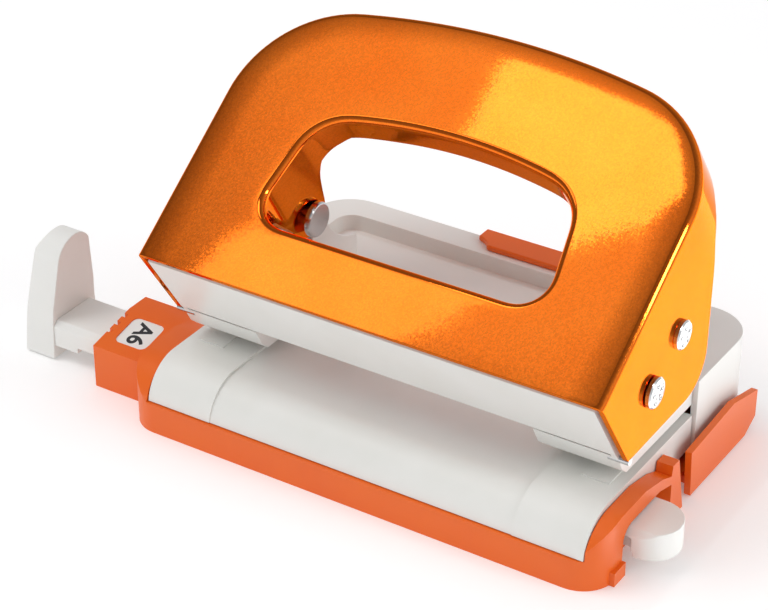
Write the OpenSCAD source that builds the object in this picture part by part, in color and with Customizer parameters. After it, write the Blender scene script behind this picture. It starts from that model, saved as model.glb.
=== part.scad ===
// Two-hole desk punch with a pressed handle, a sliding paper guide and a hinged chip tray.
// Origin: on the desk, midway between the two punch axes. +X to the right, +Y to the back.

/* [Handle] */
// Half of the handle's outer width
handle_half_w = 50.5; // [49.8:0.1:51]
// Slope of the handle's front panel, in degrees
panel_tilt = 36.2; // [35:0.1:38]
// Height of the panel's lower edge above the desk
panel_edge_z = 39.4; // [39:0.1:41]
// Y position of the panel's lower edge
panel_edge_y = -29.9; // [-31:0.1:-29.5]
// Length of the panel along its slope, at the middle
panel_len = 64.5; // [60:0.5:66]
// Radius of the panel's upper corners
corner_r = 24; // [16:1:26]
// Radius of the panel's arched top edge
arch_r = 170; // [110:5:200]
// Thickness of the handle's sheet steel
sheet = 1.2; // [1:0.1:1.4]
// Height of the side flanges' lower edge above the desk
flange_z = 22.3; // [22:0.1:23]
// Depth of the flange behind the panel along the arch
arch_depth = 12; // [6:0.5:14]

/* [Finger opening] */
// Half width of the opening
grip_half_w = 30.8; // [30.4:0.1:31]
// Distance of its lower edge from the panel's lower edge, along the slope
grip_low = 13.9; // [13:0.1:16]
// Distance of its upper edge from the panel's lower edge, along the slope
grip_high = 41; // [38:0.1:44]
// Radius of its lower corners
grip_corner_r = 6; // [4:0.5:8]
// Depth of the rim at the lower edge
rim_low = 2; // [1.5:0.1:3]
// Depth of the rim at the upper edge
rim_high = 7; // [4:0.5:8]

/* [Punches] */
// Distance between the two hole centres
hole_pitch = 80; // [80:0.1:80.2]
// Diameter of a punch
punch_d = 5.5; // [5:0.1:6]
// Distance from the hole centres to the paper stop
paper_margin = 12; // [11.8:0.1:12.2]
// Radial running clearance of a punch in its bushes
punch_gap = 0.05; // [0.02:0.01:0.09]
// Wire diameter of the return springs
spring_wire = 0.8; // [0.6:0.1:0.9]
// Turns of a return spring
spring_turns = 5.5; // [4.5:0.5:6]

/* [Lever] */
// Y position of the handle's pivot
pivot_y = -10.5; // [-11:0.1:-10]
// Height of the handle's pivot
pivot_z = 32.6; // [32:0.1:33]
// Height of the drive pin over the punches at rest
drive_z = 39.3; // [39:0.1:39.6]
// Radius of the pivot pins and the drive pins
pin_r = 2; // [1.8:0.1:2.2]
// Radial running clearance of the handle on its pivot pins
pivot_gap = 0.05; // [0.02:0.01:0.09]

/* [Body] */
// Half width of the deck
deck_half_w = 48.8; // [48.5:0.1:48.9]
// Height of the deck's top above the desk
deck_z = 14.3; // [14:0.1:14.4]
// Front of the orange base
front_y = -31.6; // [-32:0.1:-31.5]
// Back of the white body
rear_y = 38.5; // [38:0.1:39]
// Height of the slot that takes the paper
slot_h = 2.3; // [2:0.1:2.4]
// Height of the rear ledge
ledge_z = 22; // [21.5:0.1:22.4]
// Thickness of the body's sheet steel
body_sheet = 1.2; // [1:0.1:1.3]

/* [Paper guide] */
// X position of the end stop's inner face
stop_x = -81; // [-83:0.5:-79]
// X position of the guide bar's right end
bar_end_x = 60.4; // [58:0.1:61]
// Height of the end stop
stop_h = 27; // [24:0.5:29]

/* [Chip tray] */
// Height of the chip tray's walls
tray_wall_z = 8.6; // [6:0.1:9]
// Gap between the tray's floor and the desk
tray_lift = 0.5; // [0.4:0.1:0.8]

/* [Hidden] */
$fn = 96;

eps = 0.01;
hole_x = hole_pitch / 2;
orange_steel = "#F08A2C";
orange_plastic = "#F06A24";
white_steel = "#E6E6E1";
white_plastic = "#EFEFEC";
bright_steel = "#B9BCC0";
dark_rubber = "#2B2B2D";

// Points of the panel's section: along the slope and down from its outer face.
function panel_y(v, d) = panel_edge_y + v * cos(panel_tilt) + d * sin(panel_tilt);
function panel_z(v, d) = panel_edge_z + v * sin(panel_tilt) - d * cos(panel_tilt);
function panel_point(v, d) = [panel_y(v, d), panel_z(v, d)];
// Points of an arc in the plane.
function arc(centre, r, from, to, steps) =
    [for (i = [0:steps]) centre + r * [cos(from + (to - from) * i / steps), sin(from + (to - from) * i / steps)]];

// The panel's outline: straight sides, round corners, an arched top.
corner_x = handle_half_w - corner_r;
arch_centre_v = panel_len - arch_r;
corner_v = arch_centre_v + sqrt(pow(arch_r - corner_r, 2) - pow(corner_x, 2));

// The drive pin's place below the panel.
drive_v = -panel_edge_y * cos(panel_tilt) + (drive_z - panel_edge_z) * sin(panel_tilt);
drive_d = -panel_edge_y * sin(panel_tilt) - (drive_z - panel_edge_z) * cos(panel_tilt);

// The flange's outline from the side.
flange_tip_y = -18.6;
flange_rear_y = 12.6;
flange_corner_r = 8;
flange_shoulder_z = 61.5;
mouth_z = deck_z + slot_h;

// The head's slanted front face, from its top to its lower edge.
face_top = [-28.9, 37.7];
face_low = [-19.4, 23];
head_half_w = 48.5;
head_wall = 1.2;
bracket_x = 33.2;
plateau_z = 19;
bracket_wall = 1.4;

// Punch heights at rest.
punch_tip_z = mouth_z + 0.4;
punch_top_z = drive_z - pin_r - 0.05;
cap_low_z = punch_top_z - 2.6;
bush_top_z = 22;
die_low_z = 9.8;
bush_r = 4.5;

// The guide bar's section and its channel.
bar_front_y = -20.8;
bar_rear_y = -9;
bar_low_z = 3.4;
bar_top_z = 9.2;
bar_chamfer = 1.2;
channel_gap = 0.3;
housing_x = [-67.8, -54.5];
housing_front_y = -24.2;
housing_rear_y = -6.5;
window_x = [-65, -57.2];
window_y = [-21.2, -13.4];
roof_front = [housing_front_y, 9.7];
roof_ridge = [-12, 12.3];

// Base frame.
band_top_z = 6.6;
band_wall = 2.4;
band_corner_r = 7;
fender_x = [49, 52.4];
fender_arch_r = 9;
rail_top_z = 3.1;

// Rivets between the deck and the rear cover.
rivet_x = [-38, -14, 14, 38];
rivet_y = 22;
rivet_r = 1.2;

// Chip tray.
tray_x = [-45.2, 45.9];
tray_y = [-6.6, 34.2];
tray_wall = 1.2;
hinge_x = -47.6;
hinge_z = 2.1;
hinge_r = 0.8;
hinge_y = [2, 26];
tab_x = [51, 52.4];

// Draws a YZ outline and extrudes it from x0 to x1.
module side_plate(x0, x1) {
    translate([x0, 0, 0]) rotate([90, 0, 90]) linear_extrude(x1 - x0) children();
}

// Puts its children on the handle's panel: X across, Y up the slope, Z outwards.
module on_panel() {
    translate([0, panel_edge_y, panel_edge_z]) rotate([panel_tilt, 0, 0]) children();
}

// A cylinder along X.
module rod_x(r, x0, x1, y, z) {
    translate([x0, y, z]) rotate([0, 90, 0]) cylinder(r = r, h = x1 - x0);
}

// A block given by its two corners.
module block(low, high) {
    translate(low) cube(high - low);
}

module both_sides() {
    children();
    mirror([1, 0, 0]) children();
}

module panel_outline(inset) {
    half = handle_half_w - inset;
    arch = arch_r - inset;
    tangent_x = corner_x * arch / (arch_r - corner_r);
    translate([-half, -30]) square([2 * half, corner_v + 30]);
    for (side = [-1, 1]) translate([side * corner_x, corner_v]) circle(corner_r - inset);
    intersection() {
        translate([0, arch_centre_v]) circle(arch, $fn = 200);
        translate([-tangent_x, corner_v - 1]) square([2 * tangent_x, 60]);
    }
}

// The finger opening: round corners, sides that lean in, an arched top.
module grip_outline(grow) {
    top_r = 9.6;
    top_arch = 105;
    lean = 8;
    low = [grip_half_w - grip_corner_r, grip_low + grip_corner_r];
    high = [grip_half_w - 1.4 - top_r, grip_high - top_r - 2.1];
    right = concat(
        arc(low, grip_corner_r + grow, -90, lean, 8),
        arc(high, top_r + grow, lean, 78, 8)
    );
    crest = arc([0, grip_high - top_arch], top_arch + grow, 79, 101, 8);
    left = [for (i = [len(right) - 1:-1:0]) [-right[i][0], right[i][1]]];
    polygon(concat(right, crest, left));
}

// Side view of the handle, with the inner depth of the lower corner.
module handle_profile() {
    rear = [flange_rear_y - flange_corner_r, flange_z + flange_corner_r];
    shoulder = panel_point(48.7, arch_depth);
    polygon(concat(
        [panel_point(0, 0), [flange_tip_y, flange_z]],
        arc(rear, flange_corner_r, -90, 0, 8),
        [[flange_rear_y + 0.6, 52], shoulder, panel_point(75, arch_depth), panel_point(75, 0)]
    ));
}

module handle_shell() {
    color(orange_steel) difference() {
        union() {
            difference() {
                intersection() {
                    on_panel() translate([0, 0, -60]) linear_extrude(60) panel_outline(0);
                    side_plate(-60, 60) handle_profile();
                }
                on_panel() translate([0, 0, -80]) linear_extrude(80 - sheet) panel_outline(sheet);
            }
            grip_rim();
        }
        on_panel() translate([0, 0, -40]) linear_extrude(50) grip_outline(0);
        both_sides() {
            rod_x(pin_r + pivot_gap, 45, 60, pivot_y, pivot_z);
            rod_x(pin_r, 20, 60, 0, drive_z);
        }
    }
}

// The rim turned in around the opening, with the two lugs that hold the drive pins.
module grip_rim() {
    lug_r = 4.6;
    lug_x = 24;
    intersection() {
        on_panel() translate([0, 0, -40]) linear_extrude(40 - eps) difference() {
            grip_outline(sheet);
            grip_outline(0);
        }
        union() {
            side_plate(-40, 40) polygon([
                panel_point(grip_low - 3, 0.2), panel_point(grip_low - 3, rim_low),
                panel_point(grip_low + 3, rim_low), panel_point(grip_high + 3, rim_high),
                panel_point(grip_high + 3, 0.2)
            ]);
            both_sides() side_plate(lug_x, 40) {
                translate([0, drive_z]) circle(lug_r);
                polygon([
                    panel_point(drive_v - 8, 0.2), panel_point(drive_v - lug_r, drive_d),
                    panel_point(drive_v + lug_r, drive_d), panel_point(drive_v + 9, 8),
                    panel_point(drive_v + 9, 0.2)
                ]);
            }
        }
    }
}

// A drive pin: its shaft, the round head inside and the riveted head outside.
module drive_pin(side) {
    head_x = grip_half_w - 2.7;
    color(bright_steel) mirror([side < 0 ? 1 : 0, 0, 0]) {
        rod_x(pin_r, head_x, handle_half_w + 1.2, 0, drive_z);
        rod_x(3.65, head_x, head_x + 1.4, 0, drive_z);
        rod_x(2.9, handle_half_w, handle_half_w + 1.2, 0, drive_z);
    }
}

// A pivot pin, fixed in the head and its bracket. The handle turns on it.
module pivot_pin(side) {
    color(bright_steel) mirror([side < 0 ? 1 : 0, 0, 0]) {
        rod_x(pin_r, bracket_x - 0.9, handle_half_w + 1.4, pivot_y, pivot_z);
        rod_x(3.1, handle_half_w + 0.2, handle_half_w + 1.4, pivot_y, pivot_z);
    }
}

module punch(side) {
    color(bright_steel) translate([side * hole_x, 0, 0]) difference() {
        translate([0, 0, punch_tip_z]) cylinder(d = punch_d, h = punch_top_z - punch_tip_z);
        translate([0, 0, punch_tip_z]) rotate([90, 0, 0]) cylinder(r = 1.6, h = 8, center = true);
    }
}

module spring_cap(side) {
    color(bright_steel) translate([side * hole_x, 0, cap_low_z]) difference() {
        cylinder(r = 4.4, h = 1.6);
        translate([0, 0, -1]) cylinder(d = punch_d, h = 4);
    }
}

// Points of a coil spring's wire: one ring of the section.
function wire_ring(r, wire, angle, z, sides) =
    [for (i = [0:sides - 1])
        let(w = 360 * i / sides, reach = r + wire / 2 * cos(w))
        [reach * cos(angle), reach * sin(angle), z + wire / 2 * sin(w)]];

module return_spring(side) {
    coil_r = 3.6;
    sides = 6;
    per_turn = 12;
    rings = spring_turns * per_turn;
    low = bush_top_z + spring_wire / 2 + 0.02;
    rise = cap_low_z - bush_top_z - spring_wire - 0.04;
    points = [for (i = [0:rings])
        each wire_ring(coil_r, spring_wire, 360 * i / per_turn, low + rise * i / rings, sides)];
    walls = [for (i = [0:rings - 1], k = [0:sides - 1])
        [i * sides + k, i * sides + (k + 1) % sides,
         (i + 1) * sides + (k + 1) % sides, (i + 1) * sides + k]];
    first = [for (k = [sides - 1:-1:0]) k];
    last = [for (k = [0:sides - 1]) rings * sides + k];
    color(bright_steel) translate([side * hole_x, 0, 0])
        polyhedron(points, concat(walls, [first, last]), convexity = 8);
}

module guide_bush(side) {
    color(bright_steel) translate([side * hole_x, 0, 0]) difference() {
        union() {
            translate([0, 0, mouth_z]) cylinder(r = bush_r, h = bush_top_z - mouth_z);
            translate([0, 0, mouth_z + body_sheet]) cylinder(r = 5.2, h = 1.2);
        }
        translate([0, 0, mouth_z - 1]) cylinder(r = punch_d / 2 + punch_gap, h = 20);
    }
}

module die(side) {
    color(bright_steel) translate([side * hole_x, 0, 0]) difference() {
        union() {
            translate([0, 0, die_low_z]) cylinder(r = bush_r, h = deck_z - die_low_z);
            translate([0, 0, deck_z - body_sheet - 1.4]) cylinder(r = 6, h = 1.4);
        }
        translate([0, 0, die_low_z - 1]) cylinder(r = punch_d / 2 + punch_gap, h = 20);
        translate([0, 0, die_low_z - 1]) cylinder(r = 3.3, h = 2.6);
    }
}

// The deck's side view: a front that curls down, and the flat top.
module deck_section(drop) {
    centre = [front_y + 0.6 + fender_arch_r, deck_z - fender_arch_r];
    intersection() {
        translate([0, -drop]) difference() {
            union() {
                translate(centre) circle(fender_arch_r);
                translate(centre) square([paper_margin - centre[0] - eps, fender_arch_r]);
            }
            translate(centre) circle(fender_arch_r - body_sheet);
            translate([centre[0], deck_z - 30]) square([80, 30 - body_sheet]);
            translate([centre[0] - 20, -20]) square([100, 20 + band_top_z + 0.2 + drop]);
        }
        translate([-50, band_top_z + 0.2]) square([120, 20]);
    }
}

module deck_plate() {
    recess_half = 34;
    recess = 0.6;
    flank_x = deck_half_w - body_sheet;
    centre = [front_y + 0.6 + fender_arch_r, deck_z - fender_arch_r];
    color(white_steel) difference() {
        union() {
            side_plate(-recess_half, recess_half) deck_section(recess);
            both_sides() {
                side_plate(recess_half - eps, deck_half_w) deck_section(0);
                side_plate(flank_x, deck_half_w) intersection() {
                    union() {
                        translate(centre) circle(fender_arch_r);
                        translate(centre) square([paper_margin - centre[0] - eps, fender_arch_r]);
                    }
                    translate([-50, band_top_z + 0.2]) square([120, 20]);
                }
                block([40.5, -16.8, deck_z - eps], [46.3, -11, deck_z + 0.3]);
            }
            block([-45, paper_margin - 1, deck_z - body_sheet], [45, 30, deck_z - recess]);
            both_sides() block([recess_half, paper_margin - 1, deck_z - body_sheet], [45, 30, deck_z]);
        }
        for (side = [-1, 1]) translate([side * hole_x, 0, 0]) cylinder(r = bush_r, h = 40);
        rivet_holes();
        block([-60, bar_front_y - 0.8, -1], [60, bar_rear_y + 0.8, bar_top_z + 0.7]);
    }
}

// The head: slanted front face, two side walls and the guide plates with their front lips.
module punch_head() {
    inner = head_half_w - head_wall;
    plate_x = 31;
    color(white_steel) difference() {
        union() {
            side_plate(-head_half_w, head_half_w) polygon([
                face_low, face_top, face_top + [1.4, 1.4], face_low + [1.5, 0.2]
            ]);
            both_sides() {
                side_plate(inner, head_half_w) head_flank();
                side_plate(plate_x, head_half_w) polygon([
                    [paper_margin - 0.1, mouth_z], [paper_margin - 0.1, mouth_z + body_sheet],
                    [-14, mouth_z + body_sheet], [-17.3, 22.4], [-18.6, 22.1],
                    [-16.4, 18.2], [-14.6, mouth_z]
                ]);
                side_plate(plate_x, bracket_x - 0.1) polygon([
                    [-14, mouth_z + body_sheet - eps], [-11.5, mouth_z + body_sheet - eps],
                    [-21, 31], [-23.2, 31], [-18.4, 23], [-16.8, 21.5]
                ]);
            }
        }
        both_sides() {
            rod_x(pin_r, 30, 60, pivot_y, pivot_z);
            translate([hole_x, 0, 0]) cylinder(r = bush_r, h = 30);
            rod_x(0.8, 46.3, 60, -17.4, 21.3);
        }
    }
}

// Outline of the head's side walls, low behind the pivot so that the drive pin swings free.
module head_flank() {
    difference() {
        polygon(concat(
            [[paper_margin - 0.1, mouth_z], [-14.6, mouth_z], [-16.4, 18.2], [-18.6, 22.1],
             face_low, face_top, face_top + [2.2, 2.2], [-20.5, 41]],
            arc([pivot_y, pivot_z], 7.2, 110, 0, 10),
            [[-2.6, 29.4], [paper_margin - 0.1, 26]]
        ));
        translate([-8, 24]) circle(2.2);
    }
}

// An inner bracket: it carries the pivot pin's far end and has a notch for the drive pin.
module bracket(side) {
    color(white_steel) mirror([side < 0 ? 1 : 0, 0, 0]) difference() {
        side_plate(bracket_x, bracket_x + bracket_wall) difference() {
            polygon(concat(
                [[paper_margin - 0.2, mouth_z + body_sheet], [-13.6, mouth_z + body_sheet], [-16.5, 30]],
                arc([pivot_y, pivot_z], 6, 150, 60, 8),
                [[-3, 36.5], [5.2, 36.5]],
                arc([23, 39.5], 14.6, 192, 262, 10),
                [[21.2, plateau_z], [paper_margin - 0.2, plateau_z]]
            ));
            translate([-2.6, 30.9]) square([7.4, 20]);
        }
        rod_x(pin_r, 30, 60, pivot_y, pivot_z);
    }
}

// The rear of the body: walls, a raised ledge on three sides and a plateau inside it.
module rear_cover() {
    half = 49.6;
    wall = 1.4;
    low_z = 3.6;
    ledge_w = 6.5;
    rear_r = 9;
    start_y = paper_margin + 0.3;
    color(white_steel) difference() {
        union() {
            difference() {
                rear_plan(half, start_y, rear_y, rear_r, low_z, ledge_z);
                rear_plan(half - wall, start_y - 20, rear_y - wall, rear_r - wall, 0, plateau_z - wall);
                rear_plan(half - ledge_w, start_y - 20, rear_y - ledge_w, 4, plateau_z, ledge_z + 5);
                groove_cut(half - ledge_w, rear_y - ledge_w, plateau_z);
            }
            block([-47, paper_margin, deck_z], [47, start_y + 1, plateau_z]);
        }
        rivet_holes();
    }
}

// A slab with two round rear corners.
module rear_plan(half, y0, y1, r, z0, z1) {
    translate([0, 0, z0]) linear_extrude(z1 - z0) union() {
        translate([-half, y0]) square([2 * half, y1 - r - y0]);
        translate([-half + r, y0]) square([2 * (half - r), y1 - y0]);
        for (side = [-1, 1]) translate([side * (half - r), y1 - r]) circle(r);
    }
}

// The groove between the plateau and the ledge.
module groove_cut(half, y1, top_z) {
    groove_w = 2.4;
    groove = 0.7;
    difference() {
        rear_plan(half, paper_margin + 4, y1, 4, top_z - groove, top_z + 1);
        rear_plan(half - groove_w, paper_margin - 10, y1 - groove_w, 1.8, top_z - 3, top_z + 3);
    }
}

// The clip that hooks over the rear ledge and holds the body on the base.
module rear_clip() {
    half = 13;
    rise = 1.3;
    color(orange_plastic) {
        block([-half, rear_y, 1], [half, rear_y + 1.3, ledge_z + rise]);
        translate([0, 0, ledge_z]) linear_extrude(rise) difference() {
            translate([-half, rear_y - 5]) square([2 * half, 5.1]);
            for (side = [-1, 1]) translate([side * (half + 1), rear_y - 7.2]) circle(5);
        }
    }
}

module rubber_feet() {
    color(dark_rubber) {
        for (side = [-1, 1]) {
            translate([side * 40, -25.6, 0]) cylinder(r = 3, h = 1);
            block([side * 34 - 7, 36, 0], [side * 34 + 7, 37.6, 1]);
        }
    }
}

// Side view of a fender: it follows the deck's front curve, then falls to the rear.
module fender_outline() {
    centre = [front_y + fender_arch_r, 4.4];
    polygon(concat(
        [[2.6, 0], [front_y, 0], [front_y, 4.4]],
        arc(centre, fender_arch_r, 180, 90, 12),
        [[-14, 13.4], [-7, 11.9], [-3.4, 10.4], [0.4, 9]]
    ));
}

// The right fender: an arch over the guide bar, with a hooked post behind it.
module right_fender() {
    intersection() {
        fender_arch();
        linear_extrude(20) band_plan(front_y, 5, 0);
    }
}

module fender_arch() {
    side_plate(fender_x[0], fender_x[1]) difference() {
        union() {
            fender_outline();
            polygon([[2.6, 0], [-0.2, 12.4], [-2.8, 12.4], [-3.4, 9]]);
        }
        polygon(concat(
            [[-3, -1], [-22.2, -1], [-22.2, 6]],
            arc([-19, 6.6], 3.2, 180, 90, 6),
            [[-8, 9.8], [-3, 8.4]]
        ));
    }
}

// The band around the front of the base, in plan.
module front_band() {
    linear_extrude(band_top_z) difference() {
        band_plan(front_y, -24, 0);
        band_plan(front_y, -24 + eps, band_wall);
    }
}

// The base's front half in plan, with two round corners, drawn in by an inset.
module band_plan(y0, y1, inset) {
    r = band_corner_r - inset;
    polygon(concat(
        arc([fender_x[1] - band_corner_r, y0 + band_corner_r], r, -90, 0, 12),
        [[fender_x[1] - inset, y1], [housing_x[1] + inset, y1]],
        arc([housing_x[1] + band_corner_r, y0 + band_corner_r], r, 180, 270, 12)
    ));
}

// The housing that the guide bar slides through, with the seat of the format window.
module guide_housing() {
    difference() {
        side_plate(housing_x[0], housing_x[1] + 0.2) polygon([
            [housing_rear_y, 0], [housing_front_y, 0], roof_front, roof_ridge, [housing_rear_y, roof_ridge[1]]
        ]);
        guide_channel();
        translate([0, 0, bar_top_z + channel_gap + 0.3]) linear_extrude(10) window_plan(0);
        block([-65, bar_rear_y, 4.4], [-57, bar_rear_y + 1.6, 8.4]);
        for (i = [0:2]) block([housing_x[0] - 1, -19.6 + 2.5 * i, 10.2], [housing_x[0] + 1, -18.6 + 2.5 * i, 14]);
    }
}

module window_plan(inset) {
    r = 1.5;
    low = [window_x[0] + inset, window_y[0] + inset];
    high = [window_x[1] - inset, window_y[1] - inset];
    translate([low[0], low[1] + r]) square([high[0] - low[0], high[1] - low[1] - 2 * r]);
    translate([low[0] + r, low[1]]) square([high[0] - low[0] - 2 * r, high[1] - low[1]]);
    for (x = [low[0] + r, high[0] - r], y = [low[1] + r, high[1] - r]) translate([x, y]) circle(r);
}

// The printed insert that fills the window, just below the housing's roof.
module format_window() {
    slope = (roof_ridge[1] - roof_front[1]) / (roof_ridge[0] - roof_front[0]);
    sink = 0.25;
    color(white_plastic) intersection() {
        translate([0, 0, bar_top_z + channel_gap + 0.3]) linear_extrude(5) window_plan(0);
        side_plate(-70, -50) polygon([
            [-30, 0], [0, 0],
            [0, roof_front[1] + slope * (0 - roof_front[0]) - sink],
            [-30, roof_front[1] + slope * (-30 - roof_front[0]) - sink]
        ]);
    }
}

module guide_channel() {
    block([-90, bar_front_y - channel_gap, bar_low_z - channel_gap],
          [60, bar_rear_y + channel_gap, bar_top_z + channel_gap]);
}

// A bowed leaf spring in the housing that clicks into the bar's notches.
module detent_spring() {
    color(bright_steel) translate([-61, 0, 4.8]) linear_extrude(3.2) difference() {
        intersection() {
            translate([0, bar_rear_y + 0.12 + 10]) circle(10);
            translate([-3.6, bar_rear_y]) square([7.2, 1.5]);
        }
        translate([0, bar_rear_y + 0.12 + 10.3]) circle(10);
    }
}

module base_frame() {
    color(orange_plastic) difference() {
        union() {
            front_band();
            block([-48, front_y + 1, 0], [48, bar_front_y - 0.8, 2]);
            block([-60, bar_front_y - 2, 0], [49, tray_y[0] - 0.5, rail_top_z - 0.1]);
            block([-47.4, bar_rear_y + 0.8, 0], [47.4, tray_y[0] - 0.5, 8.6]);
            right_fender();
            block([49.7, -26.5, 0], [53.2, -22.2, 3]);
            difference() {
                intersection() {
                    side_plate(housing_x[1], -fender_x[0]) fender_outline();
                    linear_extrude(20) band_plan(front_y, 5, 0);
                }
                guide_channel();
            }
            guide_housing();
            base_rails();
        }
        for (side = [-1, 1]) {
            translate([side * 40, -25.6, -1]) cylinder(r = 3, h = 2);
            block([side * 34 - 7, 36, -1], [side * 34 + 7, 37.6, 1]);
        }
        translate([hinge_x, -30, hinge_z]) rotate([-90, 0, 0]) cylinder(r = hinge_r, h = 90);
    }
}

// The rails beside and behind the chip tray, with the two lugs of its hinge.
module base_rails() {
    back = rear_y;
    block([-50, 35.6, 0], [49.6, back, 3.4]);
    block([-50.4, -7, 0], [-49.4, back, 3.4]);
    hinge_lug(-7, hinge_y[0] - 0.2);
    hinge_lug(hinge_y[1] + 0.2, back);
    block([47.2, -8, 2.6], [49.4, back, 3.5]);
    block([47.2, -8, 0], [49.4, 2.6, 3.5]);
    block([47.2, 35.2, 0], [49.4, back, 3.5]);
}

// A lug of the tray's hinge, with a corner cut off where the tray swings down.
module hinge_lug(y0, y1) {
    translate([0, y1, 0]) rotate([90, 0, 0]) linear_extrude(y1 - y0)
        polygon([[-50.4, 0], [-47.2, 0], [-46.3, 1], [-46.3, 3.4], [-50.4, 3.4]]);
}

module tray_hinge_pin() {
    color(bright_steel) translate([hinge_x, hinge_y[0] - 6, hinge_z]) rotate([-90, 0, 0])
        cylinder(r = hinge_r, h = hinge_y[1] - hinge_y[0] + 12);
}

module chip_tray() {
    floor_top = tray_lift + 1.2;
    barrel_r = 1.5;
    color(orange_plastic) difference() {
        union() {
            block([tray_x[0], tray_y[0], tray_lift], [tray_x[1], tray_y[1], floor_top]);
            block([tray_x[0], tray_y[0], tray_lift], [tray_x[1], tray_y[0] + tray_wall, tray_wall_z]);
            block([tray_x[0], tray_y[1] - tray_wall, tray_lift], [tray_x[1], tray_y[1], tray_wall_z]);
            block([tray_x[1] - tray_wall, tray_y[0], tray_lift], [tray_x[1], tray_y[1], tray_wall_z]);
            block([tray_x[0], tray_y[0], tray_lift], [tray_x[0] + tray_wall, tray_y[1], tray_wall_z]);
            block([tray_x[1] - 1, 9, tray_lift], [tab_x[0] + 1, 31, 2.2]);
            side_plate(tab_x[0], tab_x[1]) polygon([
                [5.9, tray_lift], [5.2, 10.7], [23.5, 11.8], [34.7, 8.9], [34.6, 2.8], [30, tray_lift]
            ]);
            translate([hinge_x, hinge_y[0], hinge_z]) rotate([-90, 0, 0])
                cylinder(r = barrel_r, h = hinge_y[1] - hinge_y[0]);
            block([hinge_x, hinge_y[0], tray_lift + 0.1], [tray_x[0] + 0.5, hinge_y[1], hinge_z]);
        }
        translate([hinge_x, -30, hinge_z]) rotate([-90, 0, 0]) cylinder(r = hinge_r + 0.05, h = 90);
    }
}

// Small steel pins under the flange tips, where the handle comes to rest.
module stop_pins() {
    color(bright_steel) both_sides() rod_x(0.8, 46.3, handle_half_w, -17.4, 21.3);
}

// Rivets that hold the deck under the rear cover.
module body_rivets() {
    head = 0.8;
    color(bright_steel) for (x = rivet_x) translate([x, rivet_y, deck_z - body_sheet - head]) {
        cylinder(r = 2.4, h = head);
        cylinder(r = rivet_r, h = 6);
    }
}

module rivet_holes() {
    for (x = rivet_x) translate([x, rivet_y, deck_z - body_sheet - 1]) cylinder(r = rivet_r, h = 6.2);
}

module bar_section() {
    polygon([
        [bar_rear_y, bar_low_z], [bar_front_y, bar_low_z], [bar_front_y, bar_top_z - bar_chamfer],
        [bar_front_y + bar_chamfer, bar_top_z], [bar_rear_y, bar_top_z]
    ]);
}

module guide_bar() {
    mid_y = (bar_front_y + bar_rear_y) / 2;
    end_r = (bar_rear_y - bar_front_y) / 2;
    round_x = bar_end_x - end_r;
    color(white_plastic) difference() {
        side_plate(stop_x, bar_end_x) bar_section();
        difference() {
            block([round_x, bar_front_y - 1, 0], [bar_end_x + 1, bar_rear_y + 1, 12]);
            translate([round_x, mid_y, -1]) cylinder(r = end_r, h = 14);
        }
        block([stop_x + 6, bar_front_y - 1, 0], [53.6, bar_rear_y + 1, 4.6]);
        block([49.2, bar_front_y - 1, 0], [53.2, bar_front_y + 1, bar_top_z - bar_chamfer - 0.6]);
        for (x = [-61, -30, 5]) translate([x, bar_rear_y + 0.6, 0]) cylinder(r = 1.4, h = 12);
    }
}

// The end stop: a tapering plate with a rounded top.
module end_stop() {
    color(white_plastic) intersection() {
        side_plate(stop_x - 9, stop_x + 4) stop_section();
        translate([0, 10, 0]) rotate([90, 0, 0]) linear_extrude(50) polygon([
            [stop_x, 0.4], [stop_x, 9.4], [stop_x + 1.3, stop_h], [stop_x - 3.4, stop_h + 1],
            [stop_x - 5.4, stop_h - 3], [stop_x - 7.2, 8], [stop_x - 7.6, 0.4]
        ]);
    }
}

module stop_section() {
    front = [-21.4, 0.4];
    rear = [-6.4, 0.4];
    polygon(concat(
        [front, [-20.7, 12]],
        arc([-13.6, stop_h - 5.4], 5.4, 168, 30, 10),
        [[-7.4, 14], rear]
    ));
}

base_frame();
rubber_feet();
rear_clip();
format_window();
detent_spring();
deck_plate();
die(-1);  // die_left
die(1);  // die_right
punch_head();
rear_cover();
bracket(-1);  // bracket_left
bracket(1);  // bracket_right
guide_bush(-1);  // guide_bush_left
guide_bush(1);  // guide_bush_right
pivot_pin(-1);  // pivot_pin_left
pivot_pin(1);  // pivot_pin_right
stop_pins();
body_rivets();
tray_hinge_pin();
return_spring(-1);  // return_spring_left
return_spring(1);  // return_spring_right
handle_shell();
drive_pin(-1);  // drive_pin_left
drive_pin(1);  // drive_pin_right
punch(-1);  // punch_left
punch(1);  // punch_right
spring_cap(-1);  // spring_cap_left
spring_cap(1);  // spring_cap_right
guide_bar();
end_stop();
chip_tray();
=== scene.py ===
"""Looks of a small two-hole desk punch.

It has a lacquered lever handle, a white body, an orange base, a paper guide and a chip tray.
"""

import logging
import math
from dataclasses import dataclass, field
from enum import Enum
from typing import Any, Callable, Sequence

import bpy
from mathutils import Matrix, Vector

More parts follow.
